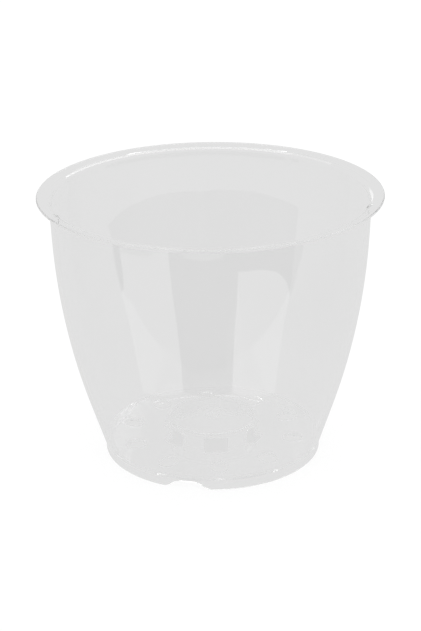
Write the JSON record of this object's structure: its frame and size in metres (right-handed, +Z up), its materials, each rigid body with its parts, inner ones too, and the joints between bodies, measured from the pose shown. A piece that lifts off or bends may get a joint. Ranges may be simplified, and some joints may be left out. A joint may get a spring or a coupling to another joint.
{
  "type": "orchid pot",
  "caption": "Clear tulip-shaped orchid pot with an out-turned lip, a drained floor, a slotted centre hub and arched notches in its foot.",
  "frame": {"origin": "centre of the foot, on the ground", "axes": "+Z up along the pot's axis, -Y towards the viewer of the picture, +X to the viewer's right"},
  "size_m": [0.13, 0.13, 0.1036],
  "materials": {
    "clear_plastic": "clear, faintly grey, glossy as moulded"
  },
  "bodies": {
    "root": {"side_wall": "clear_plastic", "rim": "clear_plastic", "foot_ring": "clear_plastic", "floor_plate": "clear_plastic", "centre_hub": "clear_plastic", "gate_mark": "clear_plastic", "stacking_lugs": "clear_plastic"}
  },
  "joints": []
}
